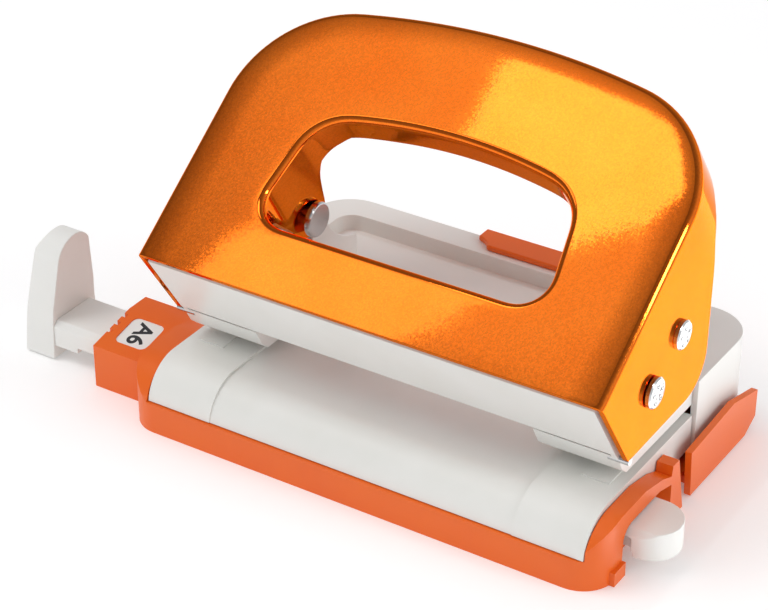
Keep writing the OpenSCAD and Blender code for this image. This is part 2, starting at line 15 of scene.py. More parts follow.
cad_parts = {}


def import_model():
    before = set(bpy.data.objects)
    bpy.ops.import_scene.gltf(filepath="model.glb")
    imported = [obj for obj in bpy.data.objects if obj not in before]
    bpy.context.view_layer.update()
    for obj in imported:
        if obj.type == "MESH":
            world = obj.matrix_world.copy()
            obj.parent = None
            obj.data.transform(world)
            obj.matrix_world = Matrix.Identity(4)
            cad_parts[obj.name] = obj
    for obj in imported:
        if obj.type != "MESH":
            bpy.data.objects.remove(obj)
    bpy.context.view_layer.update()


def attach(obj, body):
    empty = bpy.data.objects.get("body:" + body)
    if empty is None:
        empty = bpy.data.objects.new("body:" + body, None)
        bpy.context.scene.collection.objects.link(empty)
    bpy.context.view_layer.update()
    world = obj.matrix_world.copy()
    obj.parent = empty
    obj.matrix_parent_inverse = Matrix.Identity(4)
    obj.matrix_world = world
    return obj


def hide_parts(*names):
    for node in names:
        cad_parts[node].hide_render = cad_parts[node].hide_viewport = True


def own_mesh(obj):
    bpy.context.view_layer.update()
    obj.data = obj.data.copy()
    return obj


LOG = logging.getLogger("punch")
MM = 0.001
Point = tuple[float, float]
Rgba = tuple[float, float, float, float]


class Axis(Enum):
    """The directions that round pieces are turned about."""

    ACROSS = (1, 0, 0)
    UP = (0, 0, 1)


# ---------------------------------------------------------------- modelling by hand


def set_down() -> None:
    """Leaves edit mode and deselects everything."""
    active = bpy.context.view_layer.objects.active
    if active is not None and active.mode != "OBJECT":
        bpy.ops.object.mode_set(mode="OBJECT")
    bpy.ops.object.select_all(action="DESELECT")


def take_up(piece: bpy.types.Object) -> None:
    """Selects one piece alone and makes it active.

    Args:
        piece: The piece to work on.
    """
    set_down()
    piece.select_set(True)
    bpy.context.view_layer.objects.active = piece


def edit(piece: bpy.types.Object, *steps: Callable[[], Any]) -> None:
    """Runs edit-mode steps on all of a piece.

    Args:
        piece: The piece to work on.
        steps: Calls made one after the other, each with everything selected.
    """
    take_up(piece)
    bpy.ops.object.mode_set(mode="EDIT")
    for step in steps:
        bpy.ops.mesh.select_all(action="SELECT")
        step()
    bpy.ops.object.mode_set(mode="OBJECT")


def tidy_mesh(piece: bpy.types.Object, gap: float = 0.0005) -> None:
    """Merges points closer than a gap and turns all faces outwards.

    Args:
        piece: The piece to tidy.
        gap: The gap in millimetres.
    """
    edit(
        piece,
        lambda: bpy.ops.mesh.remove_doubles(threshold=gap * MM),
        lambda: bpy.ops.mesh.normals_make_consistent(inside=False),
    )


def finish_with(piece: bpy.types.Object, kind: str, **settings: Any) -> None:
    """Adds a modifier and applies it.

    Args:
        piece: The piece to change.
        kind: The modifier's type, such as BEVEL.
        settings: Its settings.
    """
    take_up(piece)
    modifier = piece.modifiers.new(kind.title(), kind)
    for name, value in settings.items():
        setattr(modifier, name, value)
    bpy.ops.object.modifier_apply(modifier=modifier.name)


def corner_face(name: str, corners: Sequence[Sequence[float]]) -> bpy.types.Object:
    """Adds a filled circle with one point per corner and moves each to its place.

    Args:
        name: The piece's name.
        corners: Corner positions in millimetres.

    Returns:
        The flat piece.
    """
    set_down()
    bpy.ops.mesh.primitive_circle_add(vertices=len(corners), fill_type="NGON")
    face = bpy.context.object
    face.name = name
    for vertex, corner in zip(face.data.vertices, corners):
        vertex.co = Vector(corner) * MM
    return face


def cut_away(piece: bpy.types.Object, other: bpy.types.Object) -> None:
    """Cuts another piece's shape out of this one, and removes the other.

    Args:
        piece: The piece that stays.
        other: The piece that is used up.
    """
    finish_with(piece, "BOOLEAN", operation="DIFFERENCE", object=other, solver="EXACT")
    bpy.data.objects.remove(other)


def smooth(piece: bpy.types.Object, degrees: float = 40) -> None:
    """Smooth shading that stays sharp at hard edges.

    Args:
        piece: The piece to shade.
        degrees: Edges sharper than this stay sharp.
    """
    take_up(piece)
    bpy.ops.object.shade_smooth_by_angle(angle=math.radians(degrees))
    finish_with(piece, "WEIGHTED_NORMAL", keep_sharp=True, weight=50)


def soften(piece: bpy.types.Object, width: float, segments: int = 3, degrees: float = 28) -> bpy.types.Object:
    """Rounds every hard edge and shades the piece.

    Args:
        piece: The piece to soften.
        width: Width of the rounding in millimetres.
        segments: Faces across the rounding.
        degrees: Edges sharper than this are rounded.

    Returns:
        The piece.
    """
    edit(
        piece,
        lambda: bpy.ops.mesh.remove_doubles(threshold=0.002 * MM),
        lambda: bpy.ops.mesh.dissolve_limited(angle_limit=math.radians(1.5)),
    )
    finish_with(
        piece, "BEVEL", width=width * MM, segments=segments, limit_method="ANGLE",
        angle_limit=math.radians(degrees), use_clamp_overlap=True, miter_outer="MITER_ARC",
    )
    smooth(piece)
    return piece


def ruled_sheet(name: str, rows: Sequence[Sequence[Vector]]) -> bpy.types.Object:
    """A grid primitive whose points are moved to the given rows.

    Args:
        name: The piece's name.
        rows: Rows of points in metres, all of one length.

    Returns:
        The open sheet.
    """
    set_down()
    bpy.ops.mesh.primitive_grid_add(x_subdivisions=len(rows[0]) - 1, y_subdivisions=len(rows) - 1)
    sheet = bpy.context.object
    sheet.name = name
    places = [point for row in rows for point in row]
    for vertex, place in zip(sheet.data.vertices, places):
        vertex.co = place
    return sheet


def join(pieces: Sequence[bpy.types.Object]) -> bpy.types.Object:
    """Joins pieces into the first one and returns it."""
    set_down()
    for piece in pieces:
        piece.select_set(True)
    bpy.context.view_layer.objects.active = pieces[0]
    bpy.ops.object.join()
    return pieces[0]


def turned(
    name: str, half_section: Sequence[Point], centre: Sequence[float], way: Axis, steps: int = 48
) -> bpy.types.Object:
    """Spins a half section into a round piece.

    Args:
        name: The piece's name.
        half_section: Corners as (position along the axis, radius), in millimetres.
        centre: A point on the axis, from which positions count.
        way: The direction of the axis.
        steps: Faces around.

    Returns:
        The closed round piece.
    """
    axis = Vector(way.value)
    out = Vector((Axis.UP if way is Axis.ACROSS else Axis.ACROSS).value)
    place = Vector(centre)
    piece = corner_face(name, [place + axis * a + out * r for a, r in half_section])
    edit(
        piece,
        lambda: bpy.ops.mesh.delete(type="ONLY_FACE"),
        lambda: bpy.ops.mesh.spin(
            steps=steps, angle=2 * math.pi, center=place * MM, axis=axis, use_auto_merge=False
        ),
    )
    tidy_mesh(piece)
    smooth(piece, 30)
    return piece


def arc(centre: Point, radius: float, start: float, end: float, steps: int) -> list[Point]:
    """Points of an arc.

    Args:
        centre: The arc's centre.
        radius: Its radius.
        start: First angle in degrees.
        end: Last angle in degrees.
        steps: Number of segments.

    Returns:
        The points, both ends included.
    """
    turns = [math.radians(start + (end - start) * i / steps) for i in range(steps + 1)]
    return [(centre[0] + radius * math.cos(t), centre[1] + radius * math.sin(t)) for t in turns]


# ---------------------------------------------------------------- finishes


def linear(hex_colour: str) -> Rgba:
    """Turns an sRGB hex colour into linear light.

    Args:
        hex_colour: A colour such as "#F08A2C".

    Returns:
        Red, green, blue and alpha.
    """
    parts = [int(hex_colour[i : i + 2], 16) / 255 for i in (1, 3, 5)]
    red, green, blue = (c / 12.92 if c <= 0.04045 else ((c + 0.055) / 1.055) ** 2.4 for c in parts)
    return red, green, blue, 1.0


def put(
    tree: bpy.types.NodeTree, kind: str, sockets: dict[Any, Any] | None = None, **settings: Any
) -> bpy.types.Node:
    """Adds a node with its settings and links.

    Args:
        tree: The node tree.
        kind: The node's type.
        sockets: Input name or number to a value, or to the output that feeds it.
        settings: The node's own settings.

    Returns:
        The node.
    """
    node = tree.nodes.new(kind)
    for name, value in settings.items():
        setattr(node, name, value)
    for name, value in (sockets or {}).items():
        if isinstance(value, bpy.types.NodeSocket):
            tree.links.new(value, node.inputs[name])
        else:
            node.inputs[name].default_value = value
    return node


def noise(
    tree: bpy.types.NodeTree, place: bpy.types.NodeSocket, size_mm: float, detail: float
) -> bpy.types.Node:
    """Adds a noise texture with spots of a given size.

    Args:
        tree: The node tree.
        place: Where the texture is read.
        size_mm: Size of a spot in millimetres.
        detail: How many finer layers it has.

    Returns:
        The texture node.
    """
    return put(tree, "ShaderNodeTexNoise", {"Vector": place, "Scale": 1 / (size_mm * MM), "Detail": detail})


def shift(tree: bpy.types.NodeTree, operation: str, sockets: dict[Any, Any]) -> bpy.types.NodeSocket:
    """Adds a vector calculation and returns its vector output."""
    return put(tree, "ShaderNodeVectorMath", sockets, operation=operation).outputs["Vector"]


@dataclass(frozen=True)
class Finish:
    """What all finishes share: a name, a slot name that nothing reads, and two tones of one colour."""

    name: str
    slot: str
    tone: str
    shade: str
    roughness: float = 0.4
    mottle_mm: float = 14.0
    grain_mm: float = 0.5
    grain_height: float = 0.02
    settings: tuple[tuple[str, Any], ...] = ()

    def surface(self, tree: bpy.types.NodeTree, place: bpy.types.NodeSocket) -> dict[str, Any]:
        """Sockets of the shader: mottled colour, uneven gloss and a fine grain.

        Args:
            tree: The node tree.
            place: Object coordinates.

        Returns:
            Shader socket names and what feeds them.
        """
        mottle = noise(tree, place, self.mottle_mm, 3.0)
        ramp = put(tree, "ShaderNodeValToRGB", {"Fac": mottle.outputs["Fac"]})
        ramp.color_ramp.elements[0].position = 0.3
        ramp.color_ramp.elements[0].color = linear(self.shade)
        ramp.color_ramp.elements[1].position = 0.7
        ramp.color_ramp.elements[1].color = linear(self.tone)
        gloss = put(tree, "ShaderNodeMapRange", {
            "Value": mottle.outputs["Fac"],
            "From Min": 0.3,
            "From Max": 0.7,
            "To Min": self.roughness * 0.92,
            "To Max": self.roughness * 1.08,
        })
        grain = noise(tree, place, self.grain_mm, 2.0)
        bump = put(tree, "ShaderNodeBump", {
            "Height": grain.outputs["Fac"], "Strength": 0.5, "Distance": self.grain_height * MM,
        })
        return {
            "Base Color": ramp.outputs["Color"],
            "Roughness": gloss.outputs["Result"],
            "Normal": bump.outputs["Normal"],
        }

    def make(self) -> bpy.types.Material:
        """Builds the material, once, and returns it."""
        known = bpy.data.materials.get(self.name)
        if known is not None:
            return known
        material = bpy.data.materials.new(self.name)
        material.use_nodes = True
        material.diffuse_color = linear(self.tone)
        tree = material.node_tree
        tree.nodes.clear()
        place = put(tree, "ShaderNodeTexCoord").outputs["Object"]
        sockets = {**dict(self.settings), **self.surface(tree, place)}
        shader = put(tree, "ShaderNodeBsdfPrincipled", sockets)
        put(tree, "ShaderNodeOutputMaterial", {"Surface": shader.outputs["BSDF"]})
        return material


@dataclass(frozen=True)
class FlakeLacquer(Finish):
    """Candy lacquer over metal flakes on pressed steel: mirror gloss, with flakes that glint one by one."""

    flake_mm: float = 0.28
    flake_tilt: float = 0.012

    def surface(self, tree: bpy.types.NodeTree, place: bpy.types.NodeSocket) -> dict[str, Any]:
        """Adds the flakes, drawn coarser than the real 0.05 mm so that they show."""
        sockets = super().surface(tree, place)
        flakes = put(tree, "ShaderNodeTexVoronoi", {"Vector": place, "Scale": 1 / (self.flake_mm * MM)})
        colour = flakes.outputs["Color"]
        shine = put(tree, "ShaderNodeMapRange", {"Value": colour, "To Min": 0.88, "To Max": 1.1})
        glint = put(tree, "ShaderNodeHueSaturation", {
            "Color": sockets["Base Color"], "Value": shine.outputs["Result"],
        })
        centred = shift(tree, "ADD", {0: colour, 1: (-0.5, -0.5, -0.5)})
        tilt = shift(tree, "SCALE", {0: centred, "Scale": self.flake_tilt})
        smooth_normal = put(tree, "ShaderNodeNewGeometry").outputs["Normal"]
        leaning = shift(tree, "ADD", {0: smooth_normal, 1: tilt})
        unit = shift(tree, "NORMALIZE", {0: leaning})
        sockets["Base Color"] = glint.outputs["Color"]
        sockets["Normal"] = unit
        return sockets


@dataclass(frozen=True)
class TurnedSteel(Finish):
    """Bare steel: fine turning or drawing marks along one direction."""

    mark_mm: float = 0.15
    mark_depth: float = 0.01
    along: tuple[float, float, float] = (1.0, 1.0, 0.1)

    def surface(self, tree: bpy.types.NodeTree, place: bpy.types.NodeSocket) -> dict[str, Any]:
        """Adds stretched marks to the bump."""
        sockets = super().surface(tree, place)
        stretched = put(tree, "ShaderNodeMapping", {"Vector": place, "Scale": self.along})
        marks = noise(tree, stretched.outputs["Vector"], self.mark_mm, 2.0)
        bump = put(tree, "ShaderNodeBump", {
            "Height": marks.outputs["Fac"], "Strength": 0.4, "Distance": self.mark_depth * MM,
        })
        sockets["Normal"] = bump.outputs["Normal"]
        return sockets


METAL = (("Metallic", 1.0),)

# Metallic lacquer on pressed steel: deep orange, mirror gloss, fine flakes.
HANDLE_LACQUER = FlakeLacquer(
    "candy orange lacquer on pressed steel", "orange_steel", "#FC7E22", "#F8761C", 0.07,
    settings=METAL + (
        ("Specular Tint", (1.0, 0.62, 0.3, 1.0)),
        ("Coat Weight", 0.12), ("Coat Roughness", 0.03), ("Coat IOR", 1.5),
    ),
)
# Satin enamel on sheet steel: off-white, a faint orange peel.
BODY_ENAMEL = Finish(
    "off-white enamel on sheet steel", "white_steel", "#EBEBE7", "#E7E7E2", 0.38,
    grain_mm=1.4, grain_height=0.012,
    settings=(("IOR", 1.5), ("Coat Weight", 0.25), ("Coat Roughness", 0.25)),
)
# Moulded ABS: off-white, satin from a lightly eroded mould.
GUIDE_ABS = Finish(
    "off-white moulded ABS", "white_plastic", "#EDEDE9", "#E9E9E5", 0.42, grain_mm=0.35, grain_height=0.015,
    settings=(("IOR", 1.53), ("Subsurface Weight", 0.05), ("Subsurface Radius", (0.002, 0.002, 0.0015))),
)
# Moulded polypropylene: saturated orange, satin, a little light passes under the skin.
BASE_PP = Finish(
    "orange moulded polypropylene", "orange_plastic", "#EE6A12", "#EA6410", 0.38,
    grain_mm=0.4, grain_height=0.02,
    settings=(("IOR", 1.49), ("Subsurface Weight", 0.05), ("Subsurface Radius", (0.003, 0.001, 0.0005))),
)
# Ground tool steel.
TOOL_STEEL = TurnedSteel("ground tool steel", "steel", "#C8CACC", "#B4B7BA", 0.28, settings=METAL)
# Cold-headed rivets: bright, dented by the tool.
RIVET_STEEL = TurnedSteel(
    "cold-headed rivet steel", "rivet_steel", "#DADADB", "#B9BBBE", 0.22,
    settings=METAL, mark_mm=0.6, along=(1, 1, 1),
)
# Drawn spring wire with a thin film of oil.
SPRING_WIRE = TurnedSteel("drawn spring wire", "spring_steel", "#A9ACB0", "#8C8F94", 0.25, settings=METAL)
# Moulded black rubber, matt.
FOOT_RUBBER = Finish(
    "black moulded rubber", "rubber", "#2A2A2B", "#222223", 0.8, grain_mm=0.6, grain_height=0.03
)
# Screen printed ink: flat dark grey.
PRINT_INK = Finish("dark grey printing ink", "white_plastic", "#333538", "#2D2F32", 0.55)


def dress(piece: bpy.types.Object, finish: Finish, body: str, *replaced: str) -> bpy.types.Object:
    """Gives a finished piece its material and its body, and hides the CAD nodes that it stands for.

    Args:
        piece: The finished piece.
        finish: Its finish.
        body: The CAD body that it rides on.
        replaced: CAD nodes that it replaces.

    Returns:
        The piece.
    """
    piece.data.materials.clear()
    piece.data.materials.append(finish.make())
    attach(piece, body)
    if replaced:
        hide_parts(*replaced)
    LOG.info("%s: %d faces, %s", piece.name, len(piece.data.polygons), finish.name)
    return piece


# ---------------------------------------------------------------- the handle


@dataclass
class Handle:
    """The pressed lever: a flat panel with a soft crown, folded flanges and a rolled opening."""

    half_width: float = 50.5
    tilt: float = 36.2
    edge_y: float = -29.9
    edge_z: float = 39.4
    length: float = 64.5
    corner_r: float = 24.0
    arch_r: float = 170.0
    sheet: float = 1.2
    fold_r: float = 1.4
    crown: float = 6.0
    crown_rise: float = 3.6
    roll_r: float = 1.5
    arch_depth: float = 12.0
    flange_tip: Point = (-18.6, 22.3)
    flange_corner: Point = (4.6, 30.3)
    flange_corner_r: float = 8.0
    flange_shoulder: Point = (13.2, 52.0)
    tip_lean: float = 0.98
    rim_low: float = 2.2
    rim_gain: float = 4.8
    drive: Point = (24.07, 17.74)
    lug_r: float = 4.6
    lug_inner_x: float = 23.0
    lug_blend: float = 2.5
    opening_centre: Point = (0.0, 27.5)
    bottom_steps: int = 48
    outline: list[Point] = field(default_factory=list)

    def place(self, x: float, v: float, d: float) -> Vector:
        """A point given across the panel, up its slope and down from its face, in metres."""
        t = math.radians(self.tilt)
        y = self.edge_y + v * math.cos(t) + d * math.sin(t)
        z = self.edge_z + v * math.sin(t) - d * math.cos(t)
        return Vector((x, y, z)) * MM

    def on_section(self, y: float, z: float) -> Point:
        """The slope position and depth of a point seen from the side."""
        t = math.radians(self.tilt)
        a, b = y - self.edge_y, z - self.edge_z
        return a * math.cos(t) + b * math.sin(t), a * math.sin(t) - b * math.cos(t)

    def edge_stations(self) -> list[tuple[Point, Point]]:
        """Points and outward directions around the panel's edge, from the lower right over the top."""
        corner_x = self.half_width - self.corner_r
        arch_v = self.length - self.arch_r
        corner_v = arch_v + math.sqrt((self.arch_r - self.corner_r) ** 2 - corner_x**2)
        meet = math.degrees(math.atan2(corner_v - arch_v, corner_x))
        right = [((self.half_width, corner_v * i / 44), (1.0, 0.0)) for i in range(44)]
        for centre, radius, start, end, steps in (
            ((corner_x, corner_v), self.corner_r, 0.0, meet, 20),
            ((0.0, arch_v), self.arch_r, meet, 90.0, 14),
        ):
            angles = [start + (end - start) * i / steps for i in range(steps)]
            for angle in angles:
                c, s = math.cos(math.radians(angle)), math.sin(math.radians(angle))
                right.append(((centre[0] + radius * c, centre[1] + radius * s), (c, s)))
        top = [((0.0, self.length), (0.0, 1.0))]
        left = [((-p[0], p[1]), (-n[0], n[1])) for p, n in reversed(right)]
        return right + top + left

    def opening_outline(self) -> list[Point]:
        """A dense, evened outline of the finger opening."""
        right = arc((24.8, 19.9), 6.0, -90, 8, 10) + arc((19.8, 29.3), 9.6, 8, 78, 12)
        crest = arc((0.0, -64.0), 105.0, 79, 101, 16)
        corners = right + crest + [(-x, v) for x, v in reversed(right)]
        closed = corners + corners[:1]
        lengths = [math.dist(a, b) for a, b in zip(closed, closed[1:])]
        total, count = sum(lengths), 480
        even: list[Point] = []
        run, k = 0.0, 0
        for i in range(count):
            target = total * i / count
            while run + lengths[k] < target:
                run += lengths[k]
                k += 1
            share = (target - run) / lengths[k]
            even.append(tuple(a + (b - a) * share for a, b in zip(closed[k], closed[k + 1])))
        reach = 4
        near = range(-reach, reach + 1)
        return [
            tuple(sum(even[(i + j) % count][n] for j in near) / len(near) for n in (0, 1))
            for i in range(count)
        ]

    def opening_towards(self, target: Point) -> tuple[Point, Point]:
        """The opening's edge point and its outward direction, seen from its centre towards a target."""
        cx, cv = self.opening_centre
        want = math.atan2(target[1] - cv, target[0] - cx)
        turn = lambda p: (math.atan2(p[1] - cv, p[0] - cx) - want + math.pi) % (2 * math.pi) - math.pi
        count = len(self.outline)
        k = min(range(count), key=lambda i: abs(turn(self.outline[i])))
        other = (k + 1) % count if turn(self.outline[k]) < 0 else (k - 1) % count
        a, b = turn(self.outline[k]), turn(self.outline[other])
        share = 0.0 if abs(a - b) < 1e-9 else a / (a - b)
        p, q = self.outline[k], self.outline[other]
        place = (p[0] + (q[0] - p[0]) * share, p[1] + (q[1] - p[1]) * share)
        before, after = self.outline[(k - 2) % count], self.outline[(k + 2) % count]
        run = (after[0] - before[0], after[1] - before[1])
        size = math.hypot(*run)
        return place, (run[1] / size, -run[0] / size)

    def rim_depth(self, x: float, v: float) -> float:
        """How far the rim is turned in: a little at the front, more at the top, most at the two lugs."""
        rim = self.rim_low + self.rim_gain * min(max((v - 16) / 24, 0), 1)
        if abs(x) < self.lug_inner_x:
            return rim
        lug = [(14.5, self.rim_low), (16.6, 6.0), (19.4, 16.5)]
        lug += [
            (self.drive[0] + self.lug_r * math.sin(t), self.drive[1] + self.lug_r * math.cos(t))
            for t in (-1.35, -0.8, -0.4, 0, 0.4, 0.8, 1.35)
        ]
        lug += [(29.4, 16.0), (30.8, 12.0), (32.6, 9.2), (35.0, 8.2), (38.0, 7.2)]
        if v <= lug[0][0]:
            depth = self.rim_low
        elif v >= lug[-1][0]:
            depth = rim
        else:
            k = next(i for i in range(len(lug) - 1) if lug[i][0] <= v <= lug[i + 1][0])
            share = (v - lug[k][0]) / (lug[k + 1][0] - lug[k][0])
            depth = lug[k][1] + (lug[k + 1][1] - lug[k][1]) * share
        blend = min((abs(x) - self.lug_inner_x) / self.lug_blend, 1.0)
        return rim + (max(depth, rim) - rim) * blend

    def flange_depth(self, v: float) -> float:
        """How deep the flange reaches below the panel's face at a place on its slope."""
        corner = arc(self.flange_corner, self.flange_corner_r, -90, 0, 12)
        low = [self.flange_tip, *corner, self.flange_shoulder]
        edge = [self.on_section(y, z) for y, z in low]
        edge += [(48.7, self.arch_depth), (90.0, self.arch_depth)]
        if v <= edge[0][0]:
            return edge[0][1]
        k = next(i for i in range(len(edge) - 1) if edge[i][0] <= v <= edge[i + 1][0])
        share = (v - edge[k][0]) / (edge[k + 1][0] - edge[k][0])
        return edge[k][1] + (edge[k + 1][1] - edge[k][1]) * share

    def fold_profile(self) -> list[Point]:
        """Inset and depth from the flat panel over the crown and the fold."""
        steps = 8
        inset, depth = 0.0, 0.0
        rows = [(inset, depth)]
        for i in range(steps):
            angle = math.radians(self.crown_rise * (i + 0.5) / steps)
            inset += self.crown / steps * math.cos(angle)
            depth += self.crown / steps * math.sin(angle)
            rows.append((inset, depth))
        start = self.crown_rise
        for i in range(1, 11):
            angle = math.radians(start + (90 - start) * i / 10)
            rows.append((
                inset + self.fold_r * (math.sin(angle) - math.sin(math.radians(start))),
                depth + self.fold_r * (math.cos(math.radians(start)) - math.cos(angle)),
            ))
        width = rows[-1][0]
        return [(width - a, b) for a, b in rows]

    def build(self) -> bpy.types.Object:
        """Builds the sheet, thickens it and returns it."""
        self.outline = self.opening_outline()
        stations = self.edge_stations()
        fold = self.fold_profile()
        inset = fold[0][0]
        inner = self.half_width - inset
        flat = [((p[0] - n[0] * inset, p[1] - n[1] * inset)) for p, n in stations]
        flat[0], flat[-1] = (inner, 0.0), (-inner, 0.0)
        foot = [(-inner + 2 * inner * i / self.bottom_steps, 0.0) for i in range(1, self.bottom_steps)]
        ring = flat + foot
        edges = [self.opening_towards(p) for p in ring]
        rows: list[list[Vector]] = []
        for share in (1.0, 0.8, 0.6, 0.4, 0.2):
            rows.append([
                self.place(q[0], q[1], self.roll_r + (self.rim_depth(*q) - self.roll_r) * share)
                for q, m in edges
            ])
        for i in range(7):
            angle = math.radians(90 - 15 * i)
            out, down = self.roll_r * (1 - math.sin(angle)), self.roll_r * (1 - math.cos(angle))
            rows.append([self.place(q[0] + m[0] * out, q[1] + m[1] * out, down) for q, m in edges])
        for share in (0.12, 0.4, 0.7, 1.0):
            row = []
            for (q, m), p in zip(edges, ring):
                a = (q[0] + m[0] * self.roll_r, q[1] + m[1] * self.roll_r)
                row.append(self.place(a[0] + (p[0] - a[0]) * share, a[1] + (p[1] - a[1]) * share, 0.0))
            rows.append(row)
        panel = ruled_sheet("handle_panel", [row + row[:1] for row in rows])
        strips: list[list[Vector]] = []
        for e, d in fold:
            strips.append([self.place(p[0] - n[0] * e, p[1] - n[1] * e, d) for p, n in stations])
        base = fold[-1][1]
        for i in range(1, 13):
            share = i / 12
            row = []
            for p, n in stations:
                depth = base + (self.flange_depth(p[1]) - base) * share
                lean = -self.tip_lean * share * max(0.0, 1 - p[1] / 20)
                row.append(self.place(p[0], p[1] + lean, depth))
            strips.append(row)
        flange = ruled_sheet("handle_flange", strips)
        sheet = join([panel, flange])
        sheet.name = "handle_sheet"
        tidy_mesh(sheet, 0.01)
        probe = max(sheet.data.polygons, key=lambda f: f.area)
        if probe.normal.z < 0:
            edit(sheet, lambda: bpy.ops.mesh.flip_normals())
        finish_with(
            sheet, "SOLIDIFY", thickness=self.sheet * MM, offset=-1.0,
            use_even_offset=True, use_quality_normals=True,
        )
        finish_with(
            sheet, "BEVEL", width=0.28 * MM, segments=2,
            limit_method="ANGLE", angle_limit=math.radians(50),
        )
        smooth(sheet, 40)
        return sheet


# ---------------------------------------------------------------- softened frame pieces


@dataclass(frozen=True)
class SoftenedNode:
    """A frame piece whose hard edges are rounded as the real one's are."""

    node: str
    body: str
    finish: Finish
    round_mm: float

    def build(self) -> bpy.types.Object:
        """Copies the node's mesh, rounds it and dresses it."""
        source = bpy.data.objects[self.node]
        piece = bpy.data.objects.new(self.node + "_finished", source.data.copy())
        bpy.context.scene.collection.objects.link(piece)
        soften(piece, self.round_mm)
        return dress(piece, self.finish, self.body, self.node)


@dataclass(frozen=True)
class Rivet:
    """A cold-headed rivet: a domed head with a chamfer, dented by the riveting tool."""

    node: str
    centre: tuple[float, float, float]
    outward: int
    profile: tuple[Point, ...]
    body: str
    dent_ring: float = 1.7
    dents: int = 5
    dent_r: float = 0.7

    def build(self) -> bpy.types.Object:
        """Spins the rivet, presses the dents in and dresses it."""
        section = [(self.outward * a, r) for a, r in self.profile]
        piece = turned(self.node + "_headed", section, self.centre, Axis.ACROSS, 64)
        for i in range(self.dents):
            angle = math.radians(20 + 360 * i / self.dents)
            set_down()
            reach = 0.55 * self.dent_r
            head = self.profile[-1][0]
            place = (
                self.centre[0] + self.outward * (head + reach),
                self.centre[1] + self.dent_ring * math.cos(angle),
                self.centre[2] + self.dent_ring * math.sin(angle),
            )
            bpy.ops.mesh.primitive_uv_sphere_add(
                segments=20, ring_count=12, radius=self.dent_r * MM, location=Vector(place) * MM
            )
            ball = bpy.context.object
            take_up(ball)
            bpy.ops.object.transform_apply(location=True, rotation=True, scale=True)
            cut_away(piece, ball)
        smooth(piece, 35)
        return dress(piece, RIVET_STEEL, self.body, self.node)


@dataclass(frozen=True)
class ReturnSpring:
    """A coil spring with closed ends, wound between a low and a high end."""

    side: int
    coil_r: float = 3.6
    wire: float = 0.8
    low: float = 22.42
    high: float = 34.23
    turns: float = 7.0
    sides: int = 10
    per_turn: int = 28

    def height(self, turn: float) -> float:
        """Height of the wire's middle after so many turns: close at both ends, open between."""
        pitch = self.wire * 1.02
        free = self.turns - 2.0
        lift = self.high - self.low - 2 * pitch
        if turn <= 1.0:
            return self.low + pitch * turn
        if turn >= self.turns - 1.0:
            return self.high - pitch * (self.turns - turn)
        return self.low + pitch + lift * (turn - 1.0) / free

    def build(self) -> bpy.types.Object:
        """Coils the wire, dresses it and puts it on the base body in place of the CAD spring."""
        name = "left" if self.side < 0 else "right"
        rings = int(self.turns * self.per_turn)
        rows = []
        for i in range(rings + 1):
            turn = i / self.per_turn
            angle = 2 * math.pi * turn
            rows.append([
                Vector((
                    self.side * 40 + (self.coil_r + self.wire / 2 * math.cos(w)) * math.cos(angle),
                    (self.coil_r + self.wire / 2 * math.cos(w)) * math.sin(angle),
                    self.height(turn) + self.wire / 2 * math.sin(w),
                )) * MM
                for w in (2 * math.pi * k / self.sides for k in range(self.sides + 1))
            ])
        wire = ruled_sheet(f"return_spring_{name}_coil", rows)
        edit(
            wire,
            lambda: bpy.ops.mesh.remove_doubles(threshold=0.001 * MM),
            lambda: bpy.ops.mesh.fill_holes(sides=self.sides),
            lambda: bpy.ops.mesh.normals_make_consistent(inside=False),
        )
        smooth(wire, 50)
        dress(wire, SPRING_WIRE, "base", f"return_spring_{name}")
        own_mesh(wire)
        return wire


@dataclass(frozen=True)
class FormatMark:
    """The printed paper format on the window's insert."""

    text: str = "A6"
    size: float = 5.4
    middle: tuple[float, float, float] = (-61.1, -17.3, 10.92)
    slope_deg: float = 12.0

    def build(self) -> bpy.types.Object:
        """Writes the mark as a thin mesh, then lays it on the insert."""
        set_down()
        bpy.ops.object.text_add()
        mark = bpy.context.object
        mark.name = "format_mark"
        mark.data.body = self.text
        mark.data.size = self.size * MM
        mark.data.align_x = "CENTER"
        mark.data.align_y = "CENTER"
        mark.data.offset = 0.12 * MM
        mark.data.extrude = 0.03 * MM
        take_up(mark)
        bpy.ops.object.convert(target="MESH")
        mark = bpy.context.object
        moved = Matrix.Translation(Vector(self.middle) * MM)
        sloped = Matrix.Rotation(math.radians(self.slope_deg), 4, "X")
        turned_round = Matrix.Rotation(math.radians(-90), 4, "Z")
        mark.matrix_world = moved @ sloped @ turned_round
        take_up(mark)
        bpy.ops.object.transform_apply(location=True, rotation=True, scale=True)
        tidy_mesh(mark)
        return dress(mark, PRINT_INK, "base")


SOFTENED = (
    SoftenedNode("base_frame", "base", BASE_PP, 0.35),
    SoftenedNode("rear_clip", "base", BASE_PP, 0.4),
    SoftenedNode("deck_plate", "base", BODY_ENAMEL, 0.3),
    SoftenedNode("punch_head", "base", BODY_ENAMEL, 0.3),
    SoftenedNode("rear_cover", "base", BODY_ENAMEL, 0.5),
    SoftenedNode("bracket_left", "base", BODY_ENAMEL, 0.2),
    SoftenedNode("bracket_right", "base", BODY_ENAMEL, 0.2),
    SoftenedNode("guide_bar", "guide", GUIDE_ABS, 0.35),
    SoftenedNode("end_stop", "guide", GUIDE_ABS, 0.8),
    SoftenedNode("chip_tray", "tray", BASE_PP, 0.35),
)
